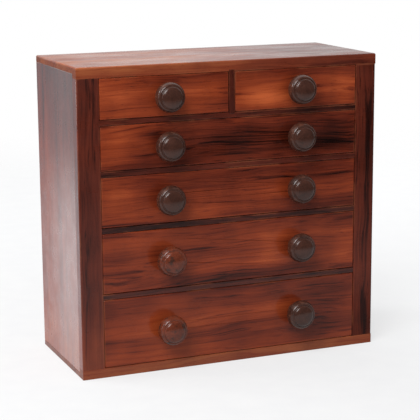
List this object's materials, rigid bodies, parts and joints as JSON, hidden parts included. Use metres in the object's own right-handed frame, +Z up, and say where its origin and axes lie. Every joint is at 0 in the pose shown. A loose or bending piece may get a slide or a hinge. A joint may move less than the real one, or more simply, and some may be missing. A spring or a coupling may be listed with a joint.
{
  "type": "chest of drawers",
  "caption": "Tabletop chest of graduated drawers: a plain upright box of dark polished wood, short drawers side by side over long ones, dovetailed, with turned knobs, sliding out in front",
  "frame": {"origin": "centre of the whole box on the surface that the chest stands on", "axes": "+Z is up, -Y is the front with the knobs, +X is to the right seen from the front"},
  "size_m": [0.3, 0.147, 0.288],
  "materials": {
    "case_wood": "gloss",
    "front_wood": "gloss",
    "drawer_lining": "matt",
    "inner_wood": "matt",
    "knob": "gloss"
  },
  "bodies": {
    "case": {"back_panel": "inner_wood", "base_board": "case_wood", "centre_divider": "case_wood", "divider_1": "case_wood", "divider_2": "case_wood", "divider_3": "case_wood", "divider_4": "case_wood", "drawer_stops_1": "inner_wood", "drawer_stops_2": "inner_wood", "drawer_stops_3": "inner_wood", "drawer_stops_4": "inner_wood", "drawer_stops_5": "inner_wood", "left_guides": "inner_wood", "left_side": "case_wood", "left_stile": "case_wood", "right_guides": "inner_wood", "right_side": "case_wood", "right_stile": "case_wood", "top_board": "case_wood"},
    "bottom_drawer": {"bottom_drawer_back": "drawer_lining", "bottom_drawer_bottom": "drawer_lining", "bottom_drawer_front": "front_wood", "bottom_drawer_left_knob": "knob", "bottom_drawer_left_side": "drawer_lining", "bottom_drawer_right_knob": "knob", "bottom_drawer_right_side": "drawer_lining"},
    "fourth_drawer": {"fourth_drawer_back": "drawer_lining", "fourth_drawer_bottom": "drawer_lining", "fourth_drawer_front": "front_wood", "fourth_drawer_left_knob": "knob", "fourth_drawer_left_side": "drawer_lining", "fourth_drawer_right_knob": "knob", "fourth_drawer_right_side": "drawer_lining"},
    "second_drawer": {"second_drawer_back": "drawer_lining", "second_drawer_bottom": "drawer_lining", "second_drawer_front": "front_wood", "second_drawer_left_knob": "knob", "second_drawer_left_side": "drawer_lining", "second_drawer_right_knob": "knob", "second_drawer_right_side": "drawer_lining"},
    "third_drawer": {"third_drawer_back": "drawer_lining", "third_drawer_bottom": "drawer_lining", "third_drawer_front": "front_wood", "third_drawer_left_knob": "knob", "third_drawer_left_side": "drawer_lining", "third_drawer_right_knob": "knob", "third_drawer_right_side": "drawer_lining"},
    "upper_left_drawer": {"upper_left_drawer_back": "drawer_lining", "upper_left_drawer_bottom": "drawer_lining", "upper_left_drawer_front": "front_wood", "upper_left_drawer_knob": "knob", "upper_left_drawer_left_side": "drawer_lining", "upper_left_drawer_right_side": "drawer_lining"},
    "upper_right_drawer": {"upper_right_drawer_back": "drawer_lining", "upper_right_drawer_bottom": "drawer_lining", "upper_right_drawer_front": "front_wood", "upper_right_drawer_knob": "knob", "upper_right_drawer_left_side": "drawer_lining", "upper_right_drawer_right_side": "drawer_lining"}
  },
  "joints": [
    {"name": "upper_left_drawer_slide", "type": "slide", "parent": "case", "child": "upper_left_drawer", "axis": [0, -1, 0], "range_m": [0, 0.095]},
    {"name": "upper_right_drawer_slide", "type": "slide", "parent": "case", "child": "upper_right_drawer", "axis": [0, -1, 0], "range_m": [0, 0.095]},
    {"name": "second_drawer_slide", "type": "slide", "parent": "case", "child": "second_drawer", "axis": [0, -1, 0], "range_m": [0, 0.095]},
    {"name": "third_drawer_slide", "type": "slide", "parent": "case", "child": "third_drawer", "axis": [0, -1, 0], "range_m": [0, 0.095]},
    {"name": "fourth_drawer_slide", "type": "slide", "parent": "case", "child": "fourth_drawer", "axis": [0, -1, 0], "range_m": [0, 0.095]},
    {"name": "bottom_drawer_slide", "type": "slide", "parent": "case", "child": "bottom_drawer", "axis": [0, -1, 0], "range_m": [0, 0.095]}
  ]
}
